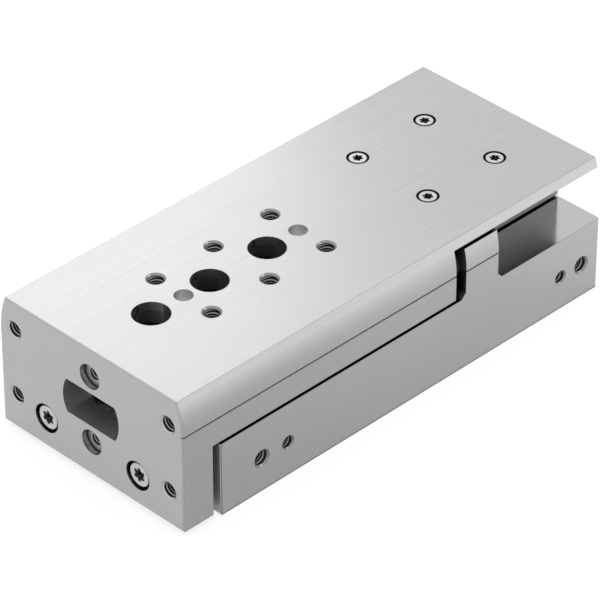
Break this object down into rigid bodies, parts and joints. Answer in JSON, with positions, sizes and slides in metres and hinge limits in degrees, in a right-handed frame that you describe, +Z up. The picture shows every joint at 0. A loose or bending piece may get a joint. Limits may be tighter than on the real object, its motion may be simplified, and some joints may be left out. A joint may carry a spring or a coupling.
{
  "type": "pneumatic slide table",
  "caption": "Pneumatic slide table: a one-piece table and yoke on a ball rail guide, driven along a flat housing by twin pistons.",
  "frame": {"origin": "centre of the footprint on the mounting face, with the table drawn in", "axes": "+X the way the table runs out, +Y the flank with the air ports, +Z up out of the table's top"},
  "size_m": [0.1498, 0.066, 0.0398],
  "materials": {
    "table_aluminium": "brushed, clear anodised",
    "housing_aluminium": "brushed, clear anodised",
    "cap_aluminium": "turned",
    "guide_steel": "ground, hardened",
    "screw_steel": "stainless",
    "plug_steel": "blackened",
    "rod_steel": "ground and polished",
    "ball_steel": "polished",
    "spring_steel": "phosphated",
    "bush_bronze": "sintered",
    "magnet": "plastic bonded",
    "guide_ring_plastic": "natural",
    "end_cap_plastic": "moulded",
    "seal_rubber": "moulded"
  },
  "bodies": {
    "base": {"housing": "housing_aluminium", "guide_rail": "guide_steel", "rail_screws": "screw_steel", "port_plugs": "plug_steel", "left_bearing_cap": "cap_aluminium", "left_cap_o_ring": "seal_rubber", "left_rod_bush": "bush_bronze", "left_rod_seal": "seal_rubber", "left_retaining_ring": "spring_steel", "left_stop_bumper": "seal_rubber", "right_bearing_cap": "cap_aluminium", "right_cap_o_ring": "seal_rubber", "right_rod_bush": "bush_bronze", "right_rod_seal": "seal_rubber", "right_retaining_ring": "spring_steel", "right_stop_bumper": "seal_rubber"},
    "slide": {"slide_table": "table_aluminium", "carriage_block": "guide_steel", "front_end_cap": "end_cap_plastic", "rear_end_cap": "end_cap_plastic", "front_end_seal": "seal_rubber", "rear_end_seal": "seal_rubber", "side_seals": "seal_rubber", "carriage_screws": "screw_steel", "rod_screws": "screw_steel", "piston_nuts": "screw_steel", "left_piston_rod": "rod_steel", "left_piston": "cap_aluminium", "left_front_piston_seal": "seal_rubber", "left_rear_piston_seal": "seal_rubber", "left_magnet": "magnet", "left_guide_ring": "guide_ring_plastic", "left_cushion": "seal_rubber", "left_balls": "ball_steel", "right_piston_rod": "rod_steel", "right_piston": "cap_aluminium", "right_front_piston_seal": "seal_rubber", "right_rear_piston_seal": "seal_rubber", "right_magnet": "magnet", "right_guide_ring": "guide_ring_plastic", "right_cushion": "seal_rubber", "right_balls": "ball_steel"}
  },
  "joints": [
    {"name": "table_slide", "type": "slide", "parent": "base", "child": "slide", "axis": [1, 0, 0], "range_m": [0, 0.05]}
  ]
}
